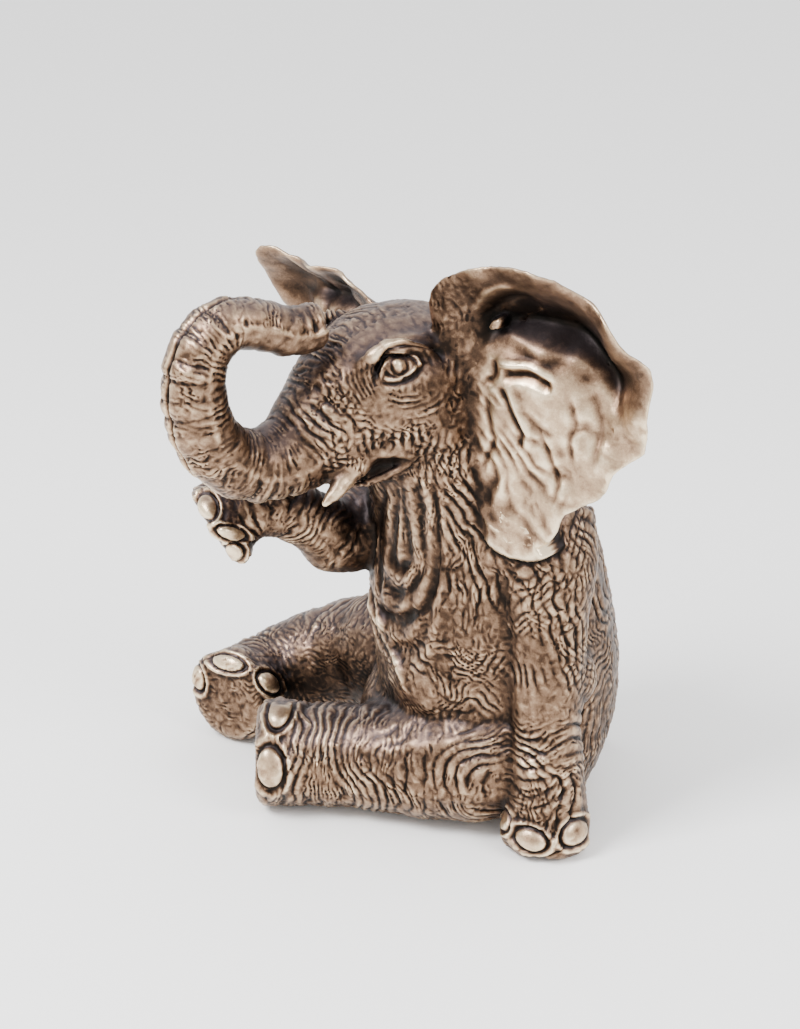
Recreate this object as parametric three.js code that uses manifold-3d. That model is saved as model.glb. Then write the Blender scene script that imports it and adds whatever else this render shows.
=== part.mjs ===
// A seated elephant calf, cast hollow in bronze and shown here as the solid that its skin encloses.
// It leans on its left foreleg, lifts the right one, stretches both hind legs out and curls its trunk to its brow.
// Millimetres, +Z up. The calf faces -Y, its left side is +X, and the origin is on the ground under the rump.
import * as THREE from "three";
import { mergeVertices } from "three/addons/utils/BufferGeometryUtils.js";
import Module from "manifold-3d";

const wasm = await Module();
wasm.setup();

const TAU = 2 * Math.PI;
const vec = (x, y, z) => new THREE.Vector3(x, y, z);
const rad = THREE.MathUtils.degToRad;
const step = THREE.MathUtils.smoothstep;
const mix = THREE.MathUtils.lerp;
const X = vec(1, 0, 0);
const Z = vec(0, 0, 1);

// ---- Driving dimensions ----
const RUMP = 128; // half the width of the seated body
const SHIN = 52; // half the thickness of a hind shin
const FOREARM = 33; // half the thickness of a foreleg at its middle
const HEAD = { at: vec(16, -100, 430), turned: rad(10), half: 78, tall: 77 };
const TRUNK = { tip: 22, ringHeight: 1.5, rings: 25, starts: 0.36 };
const EAR = { thick: 7, rim: 4.5, bulge: 15, ruffle: 5, folds: 9 };
const TUSK = { root: 11, point: 4 };
const NAIL = { wide: 17, tall: 13, deep: 8 };
const FOLD = { around: 5, rows: 7 };

// ---- Solids from rings ----

// A closed surface through rings of points; each end is closed over its middle.
function skin(rings) {
  const middle = (ring) => ring.reduce((sum, p) => sum.add(p), vec(0, 0, 0)).divideScalar(ring.length);
  const around = rings[0].length;
  const points = rings.flat();
  const faces = [];
  for (let i = 0; i + 1 < rings.length; i++) {
    for (let j = 0; j < around; j++) {
      const a = i * around + j;
      const b = i * around + ((j + 1) % around);
      faces.push([a, b, b + around], [a, b + around, a + around]);
    }
  }
  const last = (rings.length - 1) * around;
  points.push(middle(rings[0]), middle(rings[rings.length - 1]));
  for (let j = 0; j < around; j++) {
    const next = (j + 1) % around;
    faces.push([points.length - 2, next, j], [points.length - 1, last + j, last + next]);
  }
  const geometry = new THREE.BufferGeometry().setFromPoints(points);
  geometry.setIndex(faces.flat());
  return geometry;
}

// Turns a closed geometry into a manifold-3d solid, with its faces pointing out.
function solid(geometry) {
  for (const extra of ["normal", "uv"]) geometry.deleteAttribute(extra);
  const merged = mergeVertices(geometry, 1e-3);
  const make = (triVerts) =>
    new wasm.Manifold(
      new wasm.Mesh({ numProp: 3, vertProperties: merged.attributes.position.array, triVerts }),
    );
  const faces = new Uint32Array(merged.index.array);
  const made = make(faces);
  return made.volume() > 0 ? made : make(faces.reverse());
}

// The form of a limb: an ellipse carried along a smooth path.
// Each station is [x, y, z, half size along `across`, half size square to it].
function form(stations, across = X) {
  const path = new THREE.CatmullRomCurve3(stations.map(([x, y, z]) => vec(x, y, z)));
  const sizes = new THREE.CatmullRomCurve3(stations.map(([, , , side, lift]) => vec(side, lift ?? side, 0)));
  const at = (t, angle, bump = 0) => {
    const along = path.getTangent(t);
    const size = sizes.getPoint(t);
    const side = across.clone().addScaledVector(along, -across.dot(along)).normalize();
    const lift = along.clone().cross(side);
    return path
      .getPoint(t)
      .addScaledVector(side, (size.x + bump) * Math.cos(angle))
      .addScaledVector(lift, (size.y + bump) * Math.sin(angle));
  };
  return { path, at };
}

// A limb's skin. `relief` adds to its radius in mm, from the share along, the angle around and the row's number.
function limb({ path, at }, { around = 16, rows = 20, relief = () => 0, blunt = 0 } = {}) {
  const rings = Array.from({ length: rows + 1 }, (_, i) =>
    Array.from({ length: around }, (_, j) => {
      const angle = (TAU * j) / around;
      return at(i / rows, angle, relief(i / rows, angle, i));
    }),
  );
  if (blunt) {
    // A smaller, further copy of the last ring rounds the edge of a foot or a trunk.
    const centre = path.getPoint(1);
    const out = path.getTangent(1).multiplyScalar(blunt);
    rings.push(rings[rows].map((p) => p.clone().sub(centre).multiplyScalar(0.8).add(centre).add(out)));
  }
  return skin(rings);
}

// A fold of skin: a tapered tube, half sunk along a smooth line through `points`.
function fold(points, thick, { rows = FOLD.rows, around = FOLD.around, ends = 0.35 } = {}) {
  const last = points.length - 1;
  const size = (i) => thick * mix(ends, 1, Math.sin((Math.PI * i) / last));
  const level = Math.abs(points[last].z - points[0].z) < 1 ? X : Z;
  return limb(form(points.map((p, i) => [p.x, p.y, p.z, size(i)]), level), { around, rows });
}

// An egg with three half sizes, tipped about X and then turned about Z.
function egg(x, y, z, a, b, c, { turn = 0, tip = 0, segments = 10 } = {}) {
  return new THREE.SphereGeometry(1, segments, Math.round(segments * 0.7))
    .scale(a, b, c)
    .rotateX(tip)
    .rotateZ(turn)
    .translate(x, y, z);
}

// Toenails: flattened eggs half sunk in a limb, round its end.
function nails(foot, angles, { t = 0.94, out = -3, big = 1 } = {}) {
  return angles.map((angle) => {
    const inward = foot.path.getPoint(t).sub(foot.at(t, angle)).normalize();
    const along = foot.path.getTangent(t);
    const square = inward.clone().cross(along).normalize();
    const turn = new THREE.Matrix4().makeBasis(square, square.clone().cross(inward), inward);
    const at = foot.at(t, angle, out);
    return new THREE.SphereGeometry(1, 6, 4)
      .scale(NAIL.wide * big, NAIL.tall * big, NAIL.deep)
      .applyMatrix4(turn)
      .translate(at.x, at.y, at.z);
  });
}

const alternate = (row) => (row % 2 ? -1 : 1);
const bump = (value, middle, spread) => Math.exp(-(((value - middle) / spread) ** 2));

// ---- Body ----

const TORSO = form([
  [2, 4, -12, 0.66 * RUMP, 76],
  [2, 4, 30, 0.83 * RUMP, 93],
  [2, 4, 82, 0.95 * RUMP, 112],
  [0, 0, 140, 0.98 * RUMP, 119],
  [-2, -8, 200, 0.96 * RUMP, 117],
  [0, -17, 250, 0.88 * RUMP, 113],
  [2, -32, 300, 0.77 * RUMP, 98],
  [8, -54, 345, 0.69 * RUMP, 85],
  [14, -78, 385, 0.62 * RUMP, 75],
  [16, -92, 415, 0.52 * RUMP, 64],
]);

// A nested set of U-shaped folds hangs from the throat over the chest, with the belly's bulge beside it.
function throatFolds() {
  const loops = [
    { half: 33, top: 0.75, low: 0.4, thick: 9 },
    { half: 22, top: 0.73, low: 0.46, thick: 8 },
    { half: 11, top: 0.7, low: 0.52, thick: 7 },
  ];
  return loops.map(({ half, top, low, thick }) => {
    const points = Array.from({ length: 9 }, (_, i) => {
      const s = i / 4 - 1; // -1 to 1 across the loop
      const angle = rad(-77 + half * Math.sign(s) * Math.sqrt(Math.abs(s)));
      return TORSO.at(low + (top - low) * s * s, angle, -1);
    });
    return fold(points, thick, { rows: 10 });
  });
}

function body() {
  return [
    limb(TORSO, { around: 18, rows: 15 }),
    ...throatFolds(),
    egg(28, -74, 150, 62, 52, 58, { tip: rad(-12) }), // belly
    egg(-28, -66, 70, 78, 62, 72), // groin, where the thighs meet the belly
    egg(84, -12, 290, 44, 56, 60, { tip: rad(8) }), // left shoulder
    egg(-62, -38, 302, 46, 60, 50), // right shoulder
  ];
}

// ---- Legs ----

function leftHindLeg() {
  const leg = form(
    [
      [45, 25, 88, 80, 74],
      [66, -12, 82, 76, 66],
      [70, -54, 70, 67, 60],
      [38, -98, 59, 57, 54],
      [-8, -145, 53, SHIN, SHIN],
      [-34, -190, 53, SHIN, SHIN],
      [-50, -226, 54, SHIN + 2, SHIN],
    ],
    Z,
  );
  return [
    limb(leg, { around: 14, rows: 16, blunt: 9, relief: (t, angle, row) => (t > 0.2 ? 1.4 * alternate(row) : 0) }),
    ...nails(leg, [rad(42), rad(-20), rad(-90)]),
  ];
}

function rightHindLeg() {
  const leg = form(
    [
      [-60, 0, 84, 80, 78],
      [-118, -38, 93, 71, 68],
      [-172, -66, 79, 60, 58],
      [-206, -106, 62, 54, 53],
      [-216, -150, 50, 48, 48],
      [-206, -182, 48, 47, 47],
      [-189, -208, 49, 50, 49],
    ],
    Z,
  );
  return [
    limb(leg, { around: 14, rows: 16, blunt: 9, relief: (t, angle, row) => (t > 0.2 ? 1.2 * alternate(row) : 0) }),
    ...nails(leg, [rad(56), rad(-4), rad(-64)], { t: 0.95 }),
  ];
}

function leftForeleg() {
  const leg = form([
    [84, -2, 315, 42, 56],
    [105, -2, 274, 40, 50],
    [115, -7, 238, 36, 41],
    [123, -10, 200, 34, 37],
    [128, -13, 160, FOREARM, 35],
    [133, -15, 118, FOREARM - 1, 34],
    [136, -15, 78, FOREARM + 1, 36],
    [137, -15, 48, FOREARM + 5, 39],
    [137, -15, 20, FOREARM + 8, 42],
    [137, -15, -12, FOREARM + 7, 41],
  ]);
  const wrinkled = (t, angle, row) => (t > 0.5 ? 1.3 * alternate(row) : 0);
  return [
    limb(leg, { around: 14, rows: 16, relief: wrinkled }),
    egg(122, 12, 160, 25, 30, 33), // elbow
    ...nails(leg, [rad(98), rad(58), rad(18), rad(-22)], { t: 0.905, out: -2 }),
  ];
}

function rightForeleg() {
  const upper = form([
    [-60, -48, 312, 46, 52],
    [-62, -84, 286, 42, 46],
    [-58, -122, 268, 38, 40],
    [-52, -150, 264, 34, 35],
    [-50, -168, 272, 26, 28],
  ]);
  const lower = form([
    [-50, -146, 268, 31, 33],
    [-47, -172, 288, 30, 31],
    [-47, -200, 306, 29, 30],
    [-49, -226, 314, 31, 31],
    [-53, -248, 310, 37, 37],
    [-57, -268, 298, 44, 44],
  ]);
  return [
    limb(upper, { around: 12, rows: 6, blunt: 8 }),
    limb(lower, { around: 12, rows: 12, blunt: 4, relief: (t, angle, row) => 0.9 * alternate(row) }),
    ...nails(lower, [rad(-150), rad(-92), rad(-34), rad(22)], { t: 0.955, out: -1, big: 0.95 }),
  ];
}

function tail() {
  const path = form([
    [4, 98, 132, 17, 16],
    [2, 124, 98, 12, 12],
    [-6, 133, 56, 9, 9],
    [-22, 136, 20, 8, 8],
    [-44, 133, 9, 10, 9],
    [-64, 126, 7, 5, 5],
  ]);
  return limb(path, { around: 6, rows: 9 });
}

// ---- Head, in its own frame: it looks along -Y, with its left side at +X ----

function headAndTrunk() {
  const centreLine = form([
    [0, 64, 2, 30, 30],
    [0, 48, 4, 58, 56],
    [0, 12, 6, HEAD.half, HEAD.tall],
    [0, -30, 6, 76, 80],
    [0, -66, 0, 63, 72],
    [0, -98, -16, 49, 55],
    [0, -138, -36, 36, 38],
    [0, -180, -36, 32, 34],
    [0, -217, -6, 31, 32],
    [0, -231, 41, 30, 30],
    [0, -223, 80, 28, 28],
    [2, -199, 99, 26, 26],
    [5, -167, 95, 24, 24],
    [8, -138, 83, TRUNK.tip + 1, TRUNK.tip + 1],
    [10, -110, 84, TRUNK.tip, TRUNK.tip],
  ]);
  // Rings step along the trunk; its outer face is flat between two soft corners.
  const relief = (t, angle, row) => {
    const trunk = step(t, TRUNK.starts, TRUNK.starts + 0.14);
    const outer = bump(Math.cos(angle / 2 - Math.PI / 4), 0, 0.28);
    const corners = 2.5 * Math.abs(Math.cos(angle)) ** 6 - 2 * outer;
    return trunk * (TRUNK.ringHeight * alternate(row) + corners * (1 - step(t, 0.8, 1)));
  };
  return limb(centreLine, { around: 16, rows: 2 * TRUNK.rings, blunt: 5, relief });
}

// The soft parts round one eye and the mouth, mirrored by `side`.
function face(side) {
  const line = (points, thick, options) => fold(points.map(([x, y, z]) => vec(side * x, y, z)), thick, options);
  return [
    egg(side * 43, -4, -16, 35, 50, 44, { tip: rad(-12), segments: 9 }), // cheek
    egg(side * 52, -60, 40, 9, 13, 9, { segments: 7 }), // eyeball
    line([[48, -80, 34], [54, -69, 48], [59, -53, 53], [63, -35, 46]], 4.5, { rows: 6 }), // upper lid
    line([[38, -92, 42], [47, -79, 60], [56, -52, 67], [63, -16, 58]], 8, { rows: 6 }), // brow
    line([[24, -78, -22], [34, -86, -36], [39, -96, -48]], 19, { rows: 4, around: 8, ends: 0.8 }), // tusk's sheath
    line([[42, -86, -36], [53, -64, -30], [58, -42, -34], [55, -28, -48]], 9, { rows: 6, around: 6 }), // upper lip
    line([[22, -92, -66], [38, -76, -63], [48, -58, -54], [54, -36, -50]], 7, { rows: 6 }), // lower lip
    limb(
      form([
        [side * 32, -76, -34, TUSK.root],
        [side * 37, -94, -48, TUSK.root],
        [side * 42, -112, -61, 9],
        [side * 44, -126, -70, TUSK.point],
      ]),
      { around: 7, rows: 4, blunt: 3 },
    ),
  ];
}

function jaw() {
  return limb(
    form([
      [0, 0, -44, 50, 30],
      [0, -44, -56, 42, 19],
      [0, -74, -66, 30, 12],
      [0, -92, -72, 14, 7],
    ]),
    { around: 8, rows: 5 },
  );
}

// ---- Ears, in their own frame: x outward from the root, y up, z forward ----

// The rim of an open ear, from the top of its root and round its outer side, as [x, y, z].
const LEFT_RIM = [
  [-32, 84, 28], [-20, 106, 36], [4, 121, 40], [38, 130, 45], [68, 134, 46], [97, 130, 46], [127, 115, 44], [150, 103, 42],
  [167, 75, 38], [187, 53, 30], [186, 28, 26], [184, -8, 20], [174, -32, 16], [156, -42, 14], [140, -72, 10], [126, -86, 10],
  [104, -96, 12], [98, -115, 14], [84, -132, 16], [62, -140, 16], [34, -136, 10], [15, -118, 4], [-5, -79, 0], [-18, -30, 0],
  [-32, 24, 6],
];
// The other ear folds back, so its lower lobe lies behind the head and its upper corner flares forward.
const RIGHT_RIM = [
  [-14, 40, 8], [12, 53, 15], [36, 70, 25], [66, 73, 32], [108, 68, 36], [130, 78, 40], [150, 75, 42], [163, 58, 40],
  [168, 38, 30], [160, 14, 22], [150, -10, 12], [136, -38, 8], [122, -66, 8], [100, -98, 10], [70, -122, 10], [36, -118, 6],
  [8, -84, 2], [-12, -36, 0], [-20, 6, 2],
];

function earShape(rimPoints, [mx, my], { around = 34, rows = 5, arch }) {
  const rim = new THREE.CatmullRomCurve3(rimPoints.map(([x, y, z]) => vec(x, y, z)), true);
  // The ear's middle surface: a bulging middle, a trough under the arch of the rim, and folds that fan out to the edge.
  const height = (edge, v) => {
    const angle = Math.atan2(edge.y - my, edge.x - mx);
    const upper = arch * Math.max(0, Math.sin(angle + 0.35));
    const trough = -upper * bump(v, 0.62, 0.2);
    const fans = EAR.ruffle * v * v * Math.sin(EAR.folds * angle + 0.6) * step(edge.x, 0, 60);
    return edge.z * step(v, 0.5, 1.05) + EAR.bulge * (1 - v * v) + trough + fans;
  };
  const side = (face) =>
    Array.from({ length: rows + 1 }, (_, i) => {
      const v = Math.max(i / rows, 0.02);
      const thick = mix(EAR.thick, EAR.rim, v);
      return Array.from({ length: around }, (_, j) => {
        const edge = rim.getPoint(j / around);
        return vec(mix(mx, edge.x, v), mix(my, edge.y, v), height(edge, v) + (face * thick) / 2);
      });
    });
  return skin([...side(1), ...side(-1).reverse()]);
}

// Stands an ear at its root: `sweep` turns it back, and `twist` turns its lower part further.
function ear(side, geometry, { sweep, twist }) {
  const at = geometry.attributes.position;
  const p = vec(0, 0, 0);
  for (let i = 0; i < at.count; i++) {
    p.fromBufferAttribute(at, i);
    const back = sweep + twist * step(-p.y, -30, 110);
    const x = 66 + p.x * Math.cos(back) + p.z * Math.sin(back);
    const y = 18 + p.x * Math.sin(back) - p.z * Math.cos(back);
    at.setXYZ(i, side * x, y, 16 + p.y);
  }
  return geometry;
}

function head() {
  const pieces = [
    headAndTrunk(),
    jaw(),
    ...face(1),
    ...face(-1),
    ear(1, earShape(LEFT_RIM, [70, -4], { arch: 26 }), { sweep: rad(25), twist: 0 }),
    ear(-1, earShape(RIGHT_RIM, [72, -6], { arch: 14, around: 26 }), { sweep: 0, twist: rad(60) }),
    // The ridges that carry each ear from the temple.
    fold([vec(52, -8, 44), vec(72, 14, 62), vec(94, 26, 84), vec(130, 40, 98)], 11, { rows: 5, around: 6 }),
    fold([vec(-48, -4, 42), vec(-72, 14, 52), vec(-98, 8, 64), vec(-130, -4, 72)], 9, { rows: 5, around: 6 }),
  ];
  return pieces.map((piece) => piece.rotateZ(HEAD.turned).translate(HEAD.at.x, HEAD.at.y, HEAD.at.z));
}

// ---- The casting ----

const casting = [
  ...body(),
  ...leftHindLeg(),
  ...rightHindLeg(),
  ...leftForeleg(),
  ...rightForeleg(),
  tail(),
  ...head(),
]
  .map(solid)
  .reduce((whole, piece) => whole.add(piece));

const below = solid(new THREE.BoxGeometry(1000, 1000, 200).translate(0, 0, -100));
const cut = casting.subtract(below).getMesh();

const elephant = new THREE.Mesh(
  new THREE.BufferGeometry()
    .setAttribute("position", new THREE.BufferAttribute(cut.vertProperties, 3))
    .setIndex(new THREE.BufferAttribute(cut.triVerts, 1)),
  new THREE.MeshStandardMaterial({ color: 0x6e4f3a, metalness: 0.8, roughness: 0.45 }),
);
elephant.name = "elephant";

const group = new THREE.Group();
group.add(elephant);
export default group;
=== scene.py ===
import math
import bpy
import numpy as np
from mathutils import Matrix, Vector
from mathutils.bvhtree import BVHTree
from mathutils.kdtree import KDTree


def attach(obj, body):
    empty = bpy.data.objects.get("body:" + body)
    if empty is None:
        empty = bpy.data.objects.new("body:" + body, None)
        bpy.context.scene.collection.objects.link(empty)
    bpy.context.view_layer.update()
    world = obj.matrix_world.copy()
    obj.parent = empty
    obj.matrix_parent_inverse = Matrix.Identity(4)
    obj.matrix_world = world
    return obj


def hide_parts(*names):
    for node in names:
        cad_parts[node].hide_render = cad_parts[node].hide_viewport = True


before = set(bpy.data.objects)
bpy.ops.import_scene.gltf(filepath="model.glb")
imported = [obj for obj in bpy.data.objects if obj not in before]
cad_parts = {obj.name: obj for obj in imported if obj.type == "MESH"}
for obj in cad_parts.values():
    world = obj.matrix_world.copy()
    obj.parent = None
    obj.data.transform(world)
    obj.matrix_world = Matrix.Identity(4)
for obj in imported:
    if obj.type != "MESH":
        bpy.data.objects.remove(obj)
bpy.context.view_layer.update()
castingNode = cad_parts["elephant"]
mm = 0.001
print("frame loaded")

# Small helpers. Sculpting works in millimetres, on arrays of points.


def pickOnly(piece):
    bpy.ops.object.select_all(action="DESELECT")
    piece.select_set(True)
    bpy.context.view_layer.objects.active = piece


def applyModifier(piece, kind, **values):
    pickOnly(piece)
    modifier = piece.modifiers.new(kind.lower(), kind)
    for name, value in values.items():
        setattr(modifier, name, value)
    bpy.ops.object.modifier_apply(modifier=modifier.name)


def readPoints(piece):
    flat = np.empty(len(piece.data.vertices) * 3)
    piece.data.vertices.foreach_get("co", flat)
    return flat.reshape(-1, 3) / mm


def writePoints(piece, points):
    piece.data.vertices.foreach_set("co", (points * mm).ravel())
    piece.data.update()


def readNormals(piece):
    flat = np.empty(len(piece.data.vertices) * 3)
    piece.data.vertices.foreach_get("normal", flat)
    return flat.reshape(-1, 3)


def readEdges(piece):
    flat = np.empty(len(piece.data.edges) * 2, np.int64)
    piece.data.edges.foreach_get("vertices", flat)
    return flat.reshape(-1, 2)


def blur(values, edges, rounds, hold=None):
    # averages values with their neighbours on the mesh; hold keeps a share of each point still
    count = len(values)
    ends = np.concatenate([edges[:, 0], edges[:, 1]])
    others = np.concatenate([edges[:, 1], edges[:, 0]])
    share = 1 / np.maximum(np.bincount(ends, minlength=count), 1)
    columns = values.reshape(count, -1).copy()
    pull = 0.6 if hold is None else 0.6 * (1 - hold)
    for _ in range(rounds):
        for k in range(columns.shape[1]):
            mean = np.bincount(ends, columns[others, k], minlength=count) * share
            columns[:, k] += pull * (mean - columns[:, k])
    return columns.reshape(values.shape)


def step(low, high, value):
    share = np.clip((value - low) / (high - low), 0, 1)
    return share * share * (3 - 2 * share)


def hill(value, width):
    return np.exp(-((value / width) ** 2))


def unit(vector):
    vector = np.asarray(vector, float)
    return vector / np.linalg.norm(vector, axis=-1, keepdims=True)


lattice = np.random.default_rng(7).random(4096) * 2 - 1


def noise(points, size, seed=0):
    # smooth values from -1 to 1 that change over that many mm
    scaled = points / size + 37.3 * seed + 511
    cell = np.floor(scaled).astype(np.int64)
    share = scaled - cell
    share = share * share * (3 - 2 * share)
    total = np.zeros(len(points))
    for corner in np.ndindex(2, 2, 2):
        x, y, z = (cell + corner).T
        weight = np.prod(np.where(corner, share, 1 - share), axis=1)
        total += weight * lattice[(x * 73 + y * 1871 + z * 3251 + x * y * 7 + seed * 97) % 4096]
    return total


def rolls(field, points, spacing, seed, wander=0.9, sharp=0.55):
    # rounded rolls of skin with sharp creases between, along the level lines of a field in mm
    bend = noise(points, spacing * 4.2, seed)
    ripple = noise(points, spacing * 1.3, seed + 1)
    phase = field / spacing + wander * (1.9 * bend + 0.5 * ripple)
    fade = 0.62 + 1.35 * noise(points, spacing * 2.1, seed + 2)
    return (np.abs(np.sin(math.pi * phase)) ** sharp - 1) * np.clip(fade, 0.05, 1.4)


def crackle(points, first, second, spacing, seed):
    # skin crossed by two sets of creases, along two fields in mm
    one = rolls(first, points, spacing, seed, 1.2)
    two = rolls(second, points, spacing * 1.25, seed + 5, 1.2)
    return np.minimum(one, 0.85 * two)


def smoothLine(stations, count=90):
    stations = np.asarray(stations, float)
    padded = np.vstack([2 * stations[0] - stations[1], stations, 2 * stations[-1] - stations[-2]])
    place = np.linspace(0, len(stations) - 1.001, count)
    at = place.astype(int)
    t = (place - at)[:, None]
    a, b, c, d = (padded[at + k] for k in range(4))
    return 0.5 * (2 * b + (c - a) * t + (2 * a - 5 * b + 4 * c - d) * t**2 + (3 * b - a - 3 * c + d) * t**3)


# The head has its own frame: it looks along -Y, with its left side at +X.
headPlace = {"at": (16, -100, 430), "turned": math.radians(10)}


def toHead(points):
    moved = points - np.array(headPlace["at"])
    c, s = math.cos(headPlace["turned"]), math.sin(headPlace["turned"])
    return np.column_stack([c * moved[:, 0] + s * moved[:, 1], c * moved[:, 1] - s * moved[:, 0], moved[:, 2]])


def fromHead(points):
    c, s = math.cos(headPlace["turned"]), math.sin(headPlace["turned"])
    turned = np.column_stack([c * points[:, 0] - s * points[:, 1], c * points[:, 1] + s * points[:, 0], points[:, 2]])
    return turned + np.array(headPlace["at"])


# The limbs' middle lines, as x, y, z and radius, which the wrinkles run round.
limbLines = {
    "torso": [(2, 4, 0, 95), (2, 4, 82, 116), (0, 0, 140, 121), (-2, -8, 200, 119), (0, -17, 250, 112),
              (2, -32, 300, 98), (8, -54, 345, 86), (14, -78, 385, 76), (16, -92, 415, 65)],
    "leftHind": [(45, 25, 88, 78), (66, -12, 82, 70), (70, -54, 70, 63), (38, -98, 59, 56), (-8, -145, 53, 52),
                 (-34, -190, 53, 52), (-50, -240, 54, 52)],
    "rightHind": [(-60, 0, 84, 79), (-118, -38, 93, 70), (-172, -66, 79, 59), (-206, -106, 62, 53),
                  (-216, -150, 50, 48), (-206, -182, 48, 47), (-184, -216, 49, 49)],
    "leftFore": [(84, -2, 315, 48), (105, -2, 274, 44), (115, -7, 238, 38), (123, -10, 200, 35), (128, -13, 160, 34),
                 (133, -15, 118, 33), (136, -15, 78, 35), (137, -15, 48, 38), (137, -15, 20, 41), (137, -15, -20, 41)],
    "rightUpper": [(-60, -48, 312, 48), (-62, -84, 286, 44), (-58, -122, 268, 39), (-52, -150, 264, 35),
                   (-50, -172, 272, 27)],
    "rightLower": [(-50, -146, 268, 32), (-47, -172, 288, 30), (-47, -200, 306, 29), (-49, -226, 314, 31),
                   (-53, -248, 310, 37), (-58, -276, 294, 44)],
}
trunkLine = [(0, 20, 6, 78), (0, -30, 6, 78), (0, -66, 0, 68), (0, -98, -16, 52), (0, -138, -36, 37), (0, -180, -36, 33),
             (0, -217, -6, 31), (0, -231, 41, 30), (0, -223, 80, 28), (2, -199, 99, 26), (5, -167, 95, 24),
             (8, -138, 83, 23), (10, -104, 84, 22)]


def alongLine(points, stations, across):
    # for each point: mm along the line, angle round it, and mm outside its radius
    line = smoothLine(stations)
    middle, radius = line[:, :3], line[:, 3]
    stride = np.linalg.norm(np.diff(middle, axis=0), axis=1)
    length = np.concatenate([[0], np.cumsum(stride)])
    along = unit(np.gradient(middle, axis=0))
    nearest = np.empty(len(points), int)
    for start in range(0, len(points), 20000):
        block = points[start:start + 20000]
        gaps = np.linalg.norm(block[:, None] - middle[None], axis=2) - radius[None]
        nearest[start:start + 20000] = gaps.argmin(1)
    offset = points - middle[nearest]
    forward = np.einsum("ij,ij->i", offset, along[nearest])
    side = unit(np.asarray(across, float) - (along @ across)[:, None] * along)
    lift = np.cross(along, side)
    x = np.einsum("ij,ij->i", offset, side[nearest])
    y = np.einsum("ij,ij->i", offset, lift[nearest])
    return length[nearest] + forward, np.arctan2(y, x), np.linalg.norm(offset, axis=1) - radius[nearest]


# The skin: the whole casting as one fine mesh, which is sculpted and then thinned.
# The voxel is in mm, smoothing is a count of rounds, and kept is the share of the faces that the thinning leaves.
skinValues = {"voxel": 1.75, "smoothing": 36, "grain": 1.0, "kept": 0.245}

skin = castingNode.copy()
skin.data = castingNode.data.copy()
skin.name = "elephantSkin"
skin.parent = None
for key in list(skin.keys()):
    del skin[key]
bpy.context.scene.collection.objects.link(skin)
pickOnly(skin)
bpy.ops.object.mode_set(mode="EDIT")
bpy.ops.mesh.select_all(action="SELECT")
bpy.ops.mesh.remove_doubles(threshold=0.00001)
bpy.ops.object.mode_set(mode="OBJECT")
applyModifier(skin, "REMESH", mode="VOXEL", voxel_size=skinValues["voxel"] * mm, use_smooth_shade=True)
print("skin remeshed,", len(skin.data.vertices), "points")

# Ears. Each has its own frame: x outward from the root, y up, z towards the front of its open side.
ears = {
    "left": {
        "side": 1, "sweep": math.radians(25), "twist": 0, "arch": 26, "middle": (70, -4),
        "rim": [(-32, 84, 28), (-20, 106, 36), (4, 121, 40), (38, 130, 45), (68, 134, 46), (97, 130, 46),
                (127, 115, 44), (150, 103, 42), (167, 75, 38), (187, 53, 30), (186, 28, 26), (184, -8, 20),
                (174, -32, 16), (156, -42, 14), (140, -72, 10), (126, -86, 10), (104, -96, 12), (98, -115, 14),
                (84, -132, 16), (62, -140, 16), (34, -136, 10), (15, -118, 4), (-5, -79, 0), (-18, -30, 0),
                (-32, 24, 6)],
    },
    "right": {
        "side": -1, "sweep": 0, "twist": math.radians(60), "arch": 14, "middle": (72, -6),
        "rim": [(-14, 40, 8), (12, 53, 15), (36, 70, 25), (66, 73, 32), (108, 68, 36), (130, 78, 40),
                (150, 75, 42), (163, 58, 40), (168, 38, 30), (160, 14, 22), (150, -10, 12), (136, -38, 8),
                (122, -66, 8), (100, -98, 10), (70, -122, 10), (36, -118, 6), (8, -84, 2), (-12, -36, 0),
                (-20, 6, 2)],
    },
}


def toEar(ear, inHead):
    x, y, z = inHead[:, 0] * ear["side"] - 66, inHead[:, 1] - 18, inHead[:, 2] - 16
    back = ear["sweep"] + ear["twist"] * step(-30, 110, -z)
    return np.column_stack([x * np.cos(back) + y * np.sin(back), z, x * np.sin(back) - y * np.cos(back)])


def fromEar(ear, inEar):
    x, y, z = inEar.T
    back = ear["sweep"] + ear["twist"] * step(-30, 110, -y)
    across = 66 + x * np.cos(back) + z * np.sin(back)
    return np.column_stack([across * ear["side"], 18 + x * np.sin(back) - z * np.cos(back), 16 + y])


def earPlace(ear, x, y):
    # angle round the ear's middle, share of the way to its rim, and the rim's x and forward lift there
    stations = ear["rim"]
    rim = smoothLine(stations[-2:] + stations + stations[:3], 1200)
    midX, midY = ear["middle"]
    angles = np.arctan2(rim[:, 1] - midY, rim[:, 0] - midX)
    reach = np.hypot(rim[:, 0] - midX, rim[:, 1] - midY)
    angle = np.arctan2(y - midY, x - midX)
    order = np.argsort(angles)
    reachHere, rimX, lift = (np.interp(angle, angles[order], column[order], period=2 * math.pi)
                             for column in (reach, rim[:, 0], rim[:, 2]))
    return angle, np.hypot(x - midX, y - midY) / reachHere, rimX, lift


def lineGap(spots, path, count=60):
    # distance from each spot to a smooth path, and the share of the way along it
    line = smoothLine(path, count)
    gaps = np.full(len(spots), 1e9)
    share = np.zeros(len(spots))
    for start in range(0, len(spots), 50000):
        far = np.linalg.norm(spots[start:start + 50000, None] - line[None], axis=2)
        gaps[start:start + 50000] = far.min(1)
        share[start:start + 50000] = far.argmin(1) / (count - 1)
    return gaps, share


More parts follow.
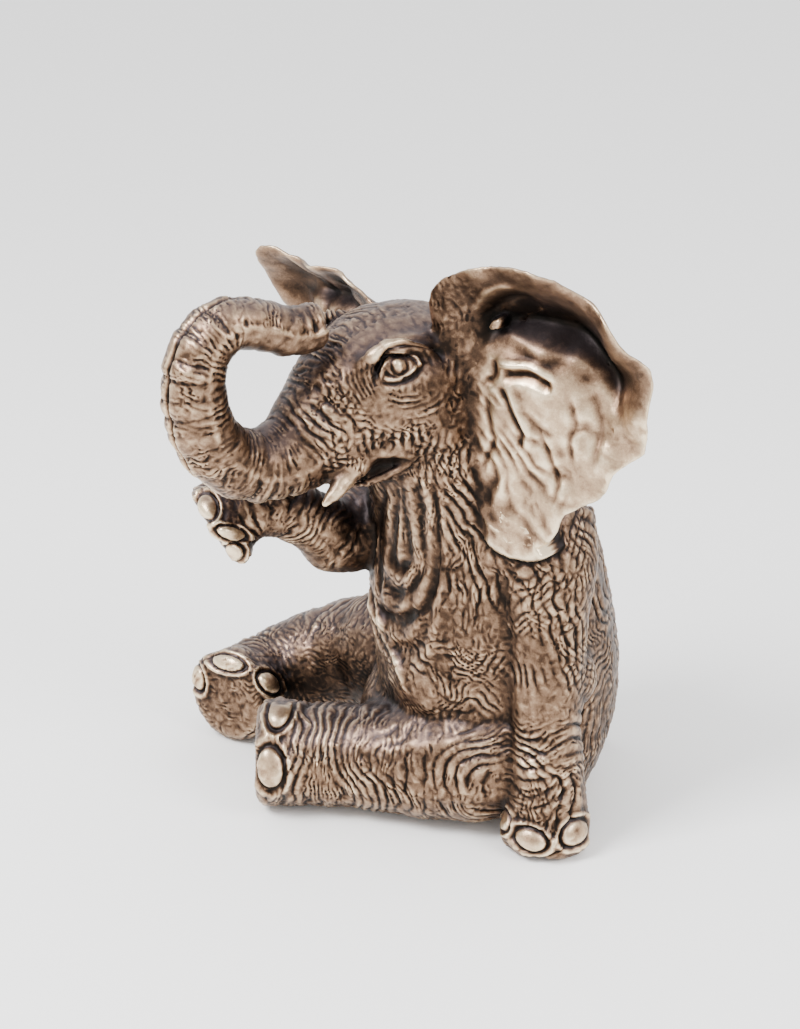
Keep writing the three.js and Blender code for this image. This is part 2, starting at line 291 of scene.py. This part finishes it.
def stroke(height, spots, path, width, depth, weight=None, taper=0.25):
    # a groove (depth below 0) or ridge along a path, fading out at its ends
    line = smoothLine(path, 60)
    near = ((spots > line.min(0) - 3 * width) & (spots < line.max(0) + 3 * width)).all(1)
    if weight is not None:
        near &= weight > 0.01
    near = np.flatnonzero(near)
    if len(near) == 0:
        return
    gaps, share = lineGap(spots[near], path)
    fade = step(0, taper, share + 0.02) * step(0, taper, 1.02 - share)
    amount = depth * fade * hill(gaps, width)
    height[near] += amount if weight is None else amount * weight[near]


# Folds of the open side of the left ear: a path of x and y, then width and depth in mm.
leftEarFolds = [
    ([(-14, 53), (-6, 42), (13, 55), (34, 66), (65, 71), (90, 70), (110, 61), (126, 50), (139, 33), (148, 12),
      (152, -7)], 8, -7),
    ([(5, 42), (15, 53), (36, 60), (54, 56), (75, 50), (104, 47), (123, 36), (138, 14), (146, -7), (150, -25)], 6, 4),
    ([(31, 35), (42, 34), (65, 37), (81, 33), (92, 26)], 3.5, 7),
    ([(36, 24), (48, 24), (64, 27), (80, 22), (88, 16)], 4.5, -7),
    ([(27, 37), (29, 21), (16, 10)], 4, -5),
    ([(36, 14), (43, 2), (51, -14), (59, -29), (55, -47)], 2.6, -5),
    ([(42, 18), (50, 4), (59, -12), (66, -28), (62, -48)], 4, 3),
    ([(24, 9), (23, -11), (26, -27), (29, -42), (20, -62), (20, -75)], 2.6, -4),
    ([(71, -19), (82, -33), (90, -55), (95, -70), (93, -88)], 2.4, -4),
    ([(99, 22), (110, -6), (106, -26), (109, -56)], 3, -3.5),
    ([(120, 22), (130, -2), (132, -26), (128, -52)], 4, -3),
    ([(-10, 66), (8, 79), (25, 97), (44, 108), (64, 112)], 4.5, 6),
    ([(-4, 60), (14, 72), (32, 88), (52, 98), (74, 100)], 4.5, -5),
    ([(-16, 78), (-10, 92), (0, 104)], 2.2, -2.5),
    ([(-6, 76), (2, 92), (14, 108)], 2.2, -2.5),
]
rightEarFolds = [
    ([(0, 34), (24, 50), (50, 58), (84, 56), (118, 60)], 7, -5),
    ([(-4, 10), (30, 30), (60, 38), (96, 34), (130, 30)], 6, -4),
]


def sculptEar(ear, points, normals, folds):
    # gives the ear's points their fine form: same middle surface as the solid, with its folds
    inEar = toEar(ear, toHead(points))
    x, y, z = inEar.T
    angle, share, rimX, lift = earPlace(ear, x, y)
    plain = lift * step(0.5, 1.05, share) + 15 * (1 - share**2)
    plain -= ear["arch"] * np.maximum(0, np.sin(angle + 0.35)) * hill(share - 0.62, 0.2)
    plain += 5 * share**2 * np.sin(9 * angle + 0.6) * step(0, 60, rimX)
    mine = (share < 1.1) & (np.abs(z - plain) < np.where(x > 34, 34, 15)) & (x > -4)
    near = np.flatnonzero(mine)
    spots = inEar[near, :2]
    fan = np.arctan2(spots[:, 1] - 40, spots[:, 0] + 30)
    flat = np.column_stack([spots, np.zeros(len(near))])
    extra = np.zeros(len(near))
    for path, width, depth in folds:
        stroke(extra, spots, path, width, depth)
    lower = step(30, -20, spots[:, 1])
    extra += (0.25 + 0.75 * lower) * 2.6 * rolls(fan * 85, flat, 11, 31, 0.7, 0.9)
    extra += (0.3 + 0.7 * lower) * 1.0 * rolls(fan * 95, flat, 4.6, 36, 0.9, 0.8)
    edge = step(0.75, 1, share[near])
    extra += edge * 3.2 * noise(flat, 24, 41) * step(5, 60, spots[:, 0])
    extra += 1.0 * noise(flat, 11, 44)
    # which way each point faces in the ear's frame
    ahead = toEar(ear, toHead(points[near] + normals[near])) - inEar[near]
    facing = np.clip(ahead[:, 2] * 1.5, -1, 1)
    thick = 7 + (4.5 - 7) * np.clip(share[near], 0, 1)
    height = plain[near] + extra
    target = inEar[near].copy()
    target[:, 2] = height + facing * thick / 2
    weight = step(4, 26, inEar[near, 0])
    moved = inEar[near] + weight[:, None] * (target - inEar[near])
    result = points.copy()
    result[near] = fromHead(fromEar(ear, moved))
    mark = np.zeros(len(points))
    mark[near] = weight
    openSide = np.zeros(len(points))
    openSide[near] = weight * step(-0.2, 0.5, facing)
    return result, mark, openSide, inEar


points, edges = readPoints(skin), readEdges(skin)
points = blur(points, edges, 3)
writePoints(skin, points)
normals = readNormals(skin)
leftMark, rightMark = (sculptEar(ears[name], points, normals, [])[1] for name in ("left", "right"))
inHead = toHead(points)
tuskGap = np.minimum(lineGap(inHead, [(32, -76, -34), (37, -94, -48), (42, -112, -61), (44, -126, -70)])[0],
                     lineGap(inHead, [(-32, -76, -34), (-37, -94, -48), (-42, -112, -61), (-44, -126, -70)])[0])
tusk = step(15, 11, tuskGap) * step(-84, -96, inHead[:, 1])
hold = np.clip(0.9 * np.maximum(leftMark, rightMark) + 0.75 * tusk, 0, 0.95)
points = blur(points, edges, skinValues["smoothing"], hold)
writePoints(skin, points)
print("skin smoothed")

normals = readNormals(skin)
points, leftMark, leftOpen, leftPlace = sculptEar(ears["left"], points, normals, leftEarFolds)
points, rightMark = sculptEar(ears["right"], points, normals, rightEarFolds)[:2]
earMark = np.maximum(leftMark, rightMark)
points = blur(points, edges, 4, 1 - earMark)
writePoints(skin, points)
normals = readNormals(skin)
print("ears folded")

# Wrinkles. Each limb has its own set, laid along or round its middle line.
chartAcross, chartUp = np.array([0.423, 0.906, 0]), np.array([-0.339, 0.158, 0.927])
chartOut = np.array([0.840, -0.392, 0.375])
chart = np.column_stack([points @ chartAcross, points @ chartUp])
front = step(0.05, 0.35, normals @ chartOut)
inHead = toHead(points)
calm = 1 - 0.97 * earMark         # 0 where there are no wrinkles

place = {name: alongLine(points, stations, (0.9, 0.3, 0.3)) for name, stations in limbLines.items()}
headSpan, headTurn, headGap = alongLine(inHead, trunkLine, (1, 0, 0))
place["trunk"] = (headSpan, headTurn, headGap)
gaps = np.column_stack([place[name][2] for name in place])
share = np.exp(-(gaps - gaps.min(1, keepdims=True)) / 5)
share /= share.sum(1, keepdims=True)
share = {name: share[:, k] for k, name in enumerate(place)}
print("limbs told apart")

height = np.zeros(len(points))


def lay(weight, maker):
    # adds a set of wrinkles where its weight isn't nothing
    near = np.flatnonzero(weight > 0.02)
    if len(near):
        height[near] += weight[near] * maker(near)


def ring(name, spacing, depth, seed, wander=0.9, sharp=0.55, slant=0.0, weight=1.0):
    # wrinkles round a limb; slant turns them towards its length
    along, turn, _ = place[name]
    lay(share[name] * calm * weight, lambda k: depth * rolls(
        along[k] + slant * spacing * np.sin(turn[k] + seed), points[k], spacing, seed, wander, sharp))


def lengthwise(name, spacing, depth, seed, radius, wander=0.9, sharp=0.55, slant=0.0, weight=1.0):
    # wrinkles along a limb
    along, turn, _ = place[name]
    count = round(2 * math.pi * radius / spacing)
    lay(share[name] * calm * weight, lambda k: depth * rolls(
        turn[k] * count / math.pi / 2 * spacing + slant * along[k], points[k], spacing, seed, wander, sharp))


def spotGap(at):
    return np.linalg.norm(points - np.array(at), axis=1)


def arcs(at, reach, spacing, depth, seed, inner):
    # wrinkles round a joint
    gap = spotGap(at)
    near = step(reach, reach * 0.7, gap) * step(inner * 0.6, inner + 0.01, gap)
    lay(near * calm, lambda k: depth * rolls(gap[k], points[k], spacing, seed, 0.8))


# Nails, each in the chart: middle, half width, half height, lean in degrees, and the limb that it is on.
nailList = [
    ((27, -41), 15, 10, -24, "leftFore"), ((69, -35), 14, 11, 38, "leftFore"), ((2, -24), 7, 11, 10, "leftFore"),
    ((-210, 75), 11, 17, -18, "leftHind"), ((-219, 21), 13, 20, 4, "leftHind"),
    ((-270, 112), 17, 8, -10, "rightHind"), ((-303, 96), 7, 14, 14, "rightHind"),
    ((-228, 92), 8, 13, 42, "rightHind"),
    ((-272, 270), 9, 12, 20, "rightLower"), ((-250, 246), 13, 6, -14, "rightLower"),
    ((-248, 228), 9, 8, -20, "rightLower"),
]
nailForm = np.zeros(len(points))
nailMark = np.zeros(len(points))
for at, wide, tall, lean, limb in nailList:
    c, t = math.cos(math.radians(lean)), math.sin(math.radians(lean))
    dx, dy = chart[:, 0] - at[0], chart[:, 1] - at[1]
    out = np.hypot((c * dx + t * dy) / wide, (c * dy - t * dx) / tall)
    on = front * (share[limb] > 0.4)
    nailForm += on * (3.2 * np.sqrt(np.clip(1 - out**2, 0, 1)) - 2.6 * hill(out - 1.1, 0.14))
    nailForm += on * 2.4 * hill(out - 1.42, 0.2)
    nailMark = np.maximum(nailMark, on * step(1.05, 0.9, out))
    calm = calm * (1 - on * step(1.25, 1.0, out))
soles = {"rightHind": (0.54, -0.84, 0.02), "leftHind": (-0.30, -0.95, 0.02), "rightLower": (-0.15, -0.86, -0.49)}
soleMark = np.zeros(len(points))
for limb, way in soles.items():
    soleMark = np.maximum(soleMark, share[limb] * step(0.72, 0.9, normals @ unit(way)))
mouth = np.linalg.norm((inHead - np.array((46, -62, -44))) / np.array((1, 1, 0.8)), axis=1)
calm = calm * (1 - 0.85 * step(30, 20, mouth)) * (1 - 0.9 * soleMark) * (1 - tusk)

knee = spotGap((126, -60, 61))
kneeArea = step(85, 60, knee)
elbow = np.hypot((chart[:, 0] - 27) / 17, (chart[:, 1] - 104) / 27)
elbowArea = step(2.1, 1.5, elbow) * front

# hind legs
ring("leftHind", 12, 2.6, 51, weight=1 - kneeArea)
ring("leftHind", 5.5, 1.5, 54, weight=1 - 0.8 * kneeArea)
arcs((130, -54, 52), 88, 11, 3.2, 57, inner=24)
arcs((130, -54, 52), 84, 5, 1.1, 58, inner=20)
ring("rightHind", 13, 2.2, 61, slant=0.6)
along, turn, _ = place["rightHind"]
lay(share["rightHind"] * calm, lambda k: 1.6 * crackle(
    points[k], along[k] + 22 * turn[k], along[k] - 26 * turn[k], 7.5, 64))

# left foreleg
lengthwise("leftFore", 12, 2.0, 71, 38, slant=0.45, weight=step(150, 190, points[:, 2]))
along, turn, _ = place["leftFore"]
lay(share["leftFore"] * calm * step(130, 175, points[:, 2]) * (1 - elbowArea), lambda k: 1.7 * crackle(
    points[k], 34 * turn[k] + 0.5 * along[k], 34 * turn[k] - 0.8 * along[k], 7.5, 74))
droop = along + 12 * np.cos(2 * turn)
wrist = step(175, 140, points[:, 2]) * step(46, 62, points[:, 2])
lay(share["leftFore"] * calm * wrist * (1 - elbowArea), lambda k:
    3.4 * rolls(droop[k], points[k], 14, 77, 0.5))
lay(share["leftFore"] * calm * step(160, 120, points[:, 2]), lambda k:
    1.2 * rolls(droop[k], points[k], 5.5, 78))

# right foreleg
for name in ("rightUpper", "rightLower"):
    ring(name, 9, 2.4, 81)
    ring(name, 4.5, 1.0, 84)

# body: lengthwise on the chest and neck, crossed on the belly and back
along, turn, _ = place["torso"]
bellyRoll = step(225, 190, points[:, 2]) * front
lengthwise("torso", 11, 2.4, 91, 100, weight=1 - 0.8 * bellyRoll, slant=0.12)
lengthwise("torso", 5, 1.3, 94, 100, weight=1 - 0.8 * bellyRoll)
lay(share["torso"] * calm * np.maximum(bellyRoll, 1 - front), lambda k: 1.8 * crackle(
    points[k], 90 * turn[k] + 0.7 * along[k], 90 * turn[k] - 0.8 * along[k], 8, 97))
ring("torso", 13, 1.6, 99, weight=(1 - front) * step(260, 180, points[:, 2]))

# throat: nested loops of skin that hang from the chin
dropX, dropY = chart[:, 0] + 96, chart[:, 1] - 224
loop = np.hypot(dropX, np.minimum(dropY, 0) / 1.55) + 0.10 * np.maximum(dropY, 0)
throat = step(52, 40, loop) * front * step(300, 275, chart[:, 1]) * share["torso"]
height *= 1 - 0.8 * throat
throatPhase = math.pi * (loop + 2.5 * noise(points, 26, 101)) / 15
lay(throat * calm, lambda k: 3.6 * (np.abs(np.cos(throatPhase[k])) ** 1.5 - 1))
lay(throat * calm, lambda k: 1.0 * rolls(loop[k], points[k], 4.6, 103))
stroke(height, chart, [(-131, 200), (-121, 172), (-106, 142), (-95, 116), (-88, 88)], 3.2, 4.5, front)
print("body wrinkled")

# head and trunk
along, turn, _ = place["trunk"]
ventral = step(-0.02, 0.2, -np.sin(turn)) * step(135, 165, along)
dorsal = 1 - ventral
root = step(30, 70, along) * step(165, 135, along)
tip = step(380, 400, along)
loopPart = step(140, 165, along)
lay(share["trunk"] * calm * root, lambda k: 2.7 * rolls(along[k], points[k], 8.2, 111, 0.7))
lay(share["trunk"] * calm * root, lambda k: 1.0 * rolls(along[k], points[k], 3.8, 113))
lay(share["trunk"] * calm * loopPart * dorsal * (1 - tip), lambda k:
    2.1 * rolls(along[k], points[k], 6.4, 115, 0.6))
lay(share["trunk"] * calm * loopPart * ventral, lambda k:
    3.4 * rolls(along[k], points[k], 15, 117, 0.35, 0.45))
lay(share["trunk"] * calm * loopPart * ventral, lambda k:
    1.3 * rolls(along[k] + 4 * turn[k], points[k], 5, 119))
median = hill(np.abs(turn + math.pi / 2) * 30, 3.2) * loopPart * step(400, 370, along)
height -= 5 * share["trunk"] * median
corner = hill(np.sin(turn) + 0.06, 0.1) * loopPart
height += 0.7 * share["trunk"] * corner

# face, in its own chart: x towards the back of the head, y up, from the eye's middle
eyeValues = {"at": (-95, 393), "across": 14, "tall": 9.5}
face = chart - np.array(eyeValues["at"])
eyeGap = np.hypot(face[:, 0], face[:, 1])
faceSide = front * step(30, 10, np.abs(inHead[:, 2] - 10) - 75) * (share["trunk"] + share["torso"] > 0.5)
faceSide = faceSide * (inHead[:, 0] > 18) * step(-140, -120, inHead[:, 1]) * (1 - earMark)
lowerFace = step(16, 24, eyeGap) * step(60, 46, eyeGap) * step(16, 2, face[:, 1] - 0.25 * face[:, 0])
cheek = faceSide * step(40, 58, eyeGap) * step(10, -10, face[:, 1])
crown = (share["trunk"] * step(62, 30, along)) * (1 - lowerFace)
height *= 1 - 0.8 * faceSide * step(64, 50, eyeGap)
lay(faceSide * calm * lowerFace, lambda k:
    1.5 * rolls(eyeGap[k] - 0.2 * face[k, 0], points[k], 5.2, 121, 0.35))
lay(cheek * calm, lambda k: 1.5 * crackle(
    points[k], 0.55 * face[k, 0] + 0.83 * face[k, 1], 0.9 * face[k, 0] - 0.43 * face[k, 1], 6.6, 124))
lay(crown * calm * (1 - cheek), lambda k:
    0.8 * rolls(0.8 * inHead[k, 0] + 0.5 * inHead[k, 1], points[k], 5, 127))
eyeWeight = faceSide * step(60, 45, eyeGap)
ball = 1 - (face[:, 0] / eyeValues["across"])**2 - (face[:, 1] / eyeValues["tall"])**2
ball = np.sqrt(np.clip(ball, 0, 1))
height += eyeWeight * 4.5 * ball
stroke(height, face, [(-24, -20), (-19, -2), (-7, 14), (12, 18), (34, 15), (41, 3)], 2.6, -5, eyeWeight)
stroke(height, face, [(-29, -18), (-25, 2), (-10, 21), (14, 26), (36, 22)], 5.5, 3.5, eyeWeight)
stroke(height, face, [(-17, -10), (-13, 3), (-4, 10.5), (6, 11.5), (14, 7), (18, -1)], 2.3, 3.4, eyeWeight, 0.1)
stroke(height, face, [(-15, -10), (-4, -11.5), (8, -6), (15, 2)], 2.0, 2.6, eyeWeight, 0.1)
stroke(height, face, [(-17, -14), (-4, -16), (12, -10), (22, 2)], 1.8, -2.0, eyeWeight)
pupil = np.hypot(face[:, 0] + 1, face[:, 1] + 0.5)
height += eyeWeight * (1.3 * hill(pupil, 3.6) - 1.5 * hill(pupil - 6.6, 1.3))
print("face sculpted")

# Move the skin by its wrinkles.
height = height * calm + nailForm
height += soleMark * 1.0 * crackle(points, points[:, 2] * 1.3, points[:, 0] - points[:, 1], 6, 137)
grain = 0.35 * noise(points, 2.6, 131) + 0.5 * noise(points, 6.5, 133)
points = points + normals * (height + skinValues["grain"] * grain * (1 - 0.6 * earMark))[:, None]
points[:, 2] = np.maximum(points[:, 2], 0)
writePoints(skin, points)
print("skin wrinkled")

# Patina and painted light for the finish: how deep each point lies, near and far, painted shade where nearby parts
# block rays, a painted highlight on the left ear and a painted sky reflection on upward faces.
# Painted highlight: the lower part of the open side of the left ear is made lighter, where the light falls on it.
leftEarHighlight = np.clip(leftOpen * step(75, 40, leftPlace[:, 1] + 0.25 * leftPlace[:, 0]), 0, 1)
shine = 0.6 * tusk
near1 = blur(points, edges, 6)
near2 = blur(near1, edges, 40)
normals = readNormals(skin)
fine = np.einsum("ij,ij->i", points - near1, normals)
broad = np.einsum("ij,ij->i", near1 - near2, normals)

# Painted shade: rays are cast from a share of the points towards nearby parts of the casting, and the share that hits
# darkens the colour in hollows, under the chin and between the legs.
tree = BVHTree.FromPolygons([v.co for v in castingNode.data.vertices],
                            [tuple(p.vertices) for p in castingNode.data.polygons])
spread = np.random.default_rng(11).normal(size=(20, 3))
few = np.arange(0, len(points), 45)
finder = KDTree(len(few))
shade = np.zeros(len(few))
for k, index in enumerate(few):
    start = Vector((near2[index] + normals[index] * 5) * mm)
    finder.insert(start, k)
    for way in unit(spread + 1.6 * normals[index]):
        if tree.ray_cast(start, Vector(way), 0.17)[0] is not None:
            shade[k] += 1 / len(spread)
finder.balance()
closest = np.fromiter((finder.find(p)[1] for p in points * mm), np.int64, len(points))
shade = blur(shade[closest], edges, 24)
# Rub value: painted shade lowers it where nearby parts block the rays; fine depth darkens the creases as patina and
# lightens the rubbed high spots, and broad depth does the same over wider hollows.
rubAndPaintedLight = 0.47 - 0.42 * np.clip(shade - 0.12, 0, 0.6)
rubAndPaintedLight += 0.40 * np.clip(fine / 0.8, -1.3, 1.1)
rubAndPaintedLight += 0.10 * np.clip(broad / 2.2, -1.5, 1.2)
patinaAndLight = {"rubAndPaintedLight": rubAndPaintedLight + 0.24 * leftEarHighlight + 0.18 * shine + 0.10 * nailMark}
# Painted sky reflection: upward faces, away from the ear's painted highlight, get a grey-violet tint.
patinaAndLight["skySheen"] = step(0.3, 0.95, normals[:, 2]) * 0.6 * (1 - leftEarHighlight)
print("patina values stored")

# Finish.
# Dark patina in the creases, brown bronze between them, and rubbed metal on the high spots; the same ramp also takes
# painted shade in hollows and a painted highlight on the left ear, and a grey-violet painted sky reflection is mixed
# in on upward faces.
bronzeLook = {
    "ramp": [(0.0, (0.004, 0.003, 0.002)), (0.28, (0.014, 0.008, 0.005)), (0.44, (0.065, 0.036, 0.021)),
             (0.58, (0.20, 0.122, 0.075)), (0.76, (0.47, 0.33, 0.205)), (0.95, (0.86, 0.69, 0.46))],
    "skySheen": (0.13, 0.105, 0.115), "metallic": 0.9, "rough": (0.5, 0.29), "grain": 0.3,
}


def makeBronze(name, look):
    material = bpy.data.materials.new(name)
    material.use_nodes = True
    nodes, links = material.node_tree.nodes, material.node_tree.links
    shader = nodes["Principled BSDF"]
    shader.inputs["Metallic"].default_value = look["metallic"]

    def value(name):
        node = nodes.new("ShaderNodeAttribute")
        node.attribute_name = name
        return node.outputs["Fac"]

    def maths(kind, first, second, third=None, clamp=False):
        node = nodes.new("ShaderNodeMath")
        node.operation = kind
        node.use_clamp = clamp
        for socket, item in zip(node.inputs, (first, second, third)):
            if isinstance(item, (int, float)):
                socket.default_value = item
            elif item is not None:
                links.new(item, socket)
        return node.outputs[0]

    def cloud(scale, detail, rough=0.6):
        node = nodes.new("ShaderNodeTexNoise")
        node.inputs["Scale"].default_value = scale
        node.inputs["Detail"].default_value = detail
        node.inputs["Roughness"].default_value = rough
        links.new(place.outputs["Object"], node.inputs["Vector"])
        return node.outputs["Fac"]

    place = nodes.new("ShaderNodeTexCoord")
    patches = cloud(22, 5)
    flecks = cloud(260, 4, 0.7)
    specks = cloud(900, 3, 0.7)
    # The rub value carries patina and rubbed wear together with painted shade in hollows and a painted highlight on
    # the left ear; noise varies it at random.
    rubAndPaintedLight = maths("MULTIPLY_ADD", patches, 0.34, -0.17)
    rubAndPaintedLight = maths("ADD", value("rubAndPaintedLight"), rubAndPaintedLight)
    rubAndPaintedLight = maths("ADD", rubAndPaintedLight, maths("MULTIPLY_ADD", flecks, 0.26, -0.13))
    rubAndPaintedLight = maths("ADD", rubAndPaintedLight, maths("MULTIPLY_ADD", specks, 0.16, -0.08), clamp=True)
    ramp = nodes.new("ShaderNodeValToRGB")
    while len(ramp.color_ramp.elements) < len(look["ramp"]):
        ramp.color_ramp.elements.new(0.5)
    for element, (at, colour) in zip(ramp.color_ramp.elements, look["ramp"]):
        element.position = at
        element.color = (*colour, 1)
    links.new(rubAndPaintedLight, ramp.inputs["Fac"])
    # Painted sky reflection: mixes the grey-violet tint in on upward faces, in patches.
    skySheenMix = nodes.new("ShaderNodeMix")
    skySheenMix.data_type = "RGBA"
    colourIn = [socket for socket in skySheenMix.inputs if socket.type == "RGBA"]
    colourOut = [socket for socket in skySheenMix.outputs if socket.type == "RGBA"]
    colourIn[1].default_value = (*look["skySheen"], 1)
    links.new(ramp.outputs["Color"], colourIn[0])
    links.new(maths("MULTIPLY", value("skySheen"), maths("MULTIPLY_ADD", patches, 1.2, 0.0, clamp=True)),
              skySheenMix.inputs[0])
    links.new(colourOut[0], shader.inputs["Base Color"])
    rough = maths("MULTIPLY_ADD", rubAndPaintedLight, look["rough"][1] - look["rough"][0], look["rough"][0])
    links.new(maths("ADD", rough, maths("MULTIPLY_ADD", flecks, 0.12, -0.06)), shader.inputs["Roughness"])
    bump = nodes.new("ShaderNodeBump")
    bump.inputs["Strength"].default_value = look["grain"]
    bump.inputs["Distance"].default_value = 0.0008
    links.new(maths("MULTIPLY_ADD", specks, 0.5, flecks), bump.inputs["Height"])
    links.new(bump.outputs["Normal"], shader.inputs["Normal"])
    return material


bronze = makeBronze("bronze", bronzeLook)

for label, values in patinaAndLight.items():
    attribute = skin.data.attributes.new(label, "FLOAT", "POINT")
    attribute.data.foreach_set("value", np.asarray(values, np.float32))
skin.data.materials.clear()
skin.data.materials.append(bronze)
applyModifier(skin, "DECIMATE", ratio=skinValues["kept"])
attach(skin, "root")
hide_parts("elephant")
print("finish laid,", len(skin.data.polygons), "faces")

# Floor, light and camera.
studio = {"floor": (0.97, 0.97, 0.97, 1), "sky": 1.7}

bpy.ops.mesh.primitive_plane_add(size=30, location=(0, 0, -0.0006))
floor = bpy.context.object
floor.name = "floor"
floorPaint = bpy.data.materials.new("floorPaint")
floorPaint.use_nodes = True
floorShader = floorPaint.node_tree.nodes["Principled BSDF"]
floorShader.inputs["Base Color"].default_value = studio["floor"]
floorShader.inputs["Roughness"].default_value = 0.9
floor.data.materials.append(floorPaint)

world = bpy.data.worlds.new("studio")
world.use_nodes = True
world.node_tree.nodes["Background"].inputs["Color"].default_value = (1, 1, 1, 1)
world.node_tree.nodes["Background"].inputs["Strength"].default_value = studio["sky"]
bpy.context.scene.world = world


def aim(thing, target):
    way = Vector(target) - thing.location
    thing.rotation_euler = way.to_track_quat("-Z", "Y").to_euler()


def softLight(name, at, size, power):
    lamp = bpy.data.lights.new(name, "AREA")
    lamp.size = size
    lamp.energy = power
    holder = bpy.data.objects.new(name, lamp)
    bpy.context.scene.collection.objects.link(holder)
    holder.location = at
    aim(holder, (0, 0, 0.25))


softLight("keyLight", (0.3, -2.0, 2.3), 1.1, 130)
softLight("fillLight", (2.4, 1.0, 2.0), 1.2, 55)

lens = bpy.data.cameras.new("view")
lens.sensor_fit = "HORIZONTAL"
lens.lens = 112.5
camera = bpy.data.objects.new("view", lens)
bpy.context.scene.collection.objects.link(camera)
camera.location = (1.9713, -1.0241, 1.1804)
aim(camera, (-0.1294, -0.0445, 0.2438))
bpy.context.scene.camera = camera
print("floor, light and camera ready")
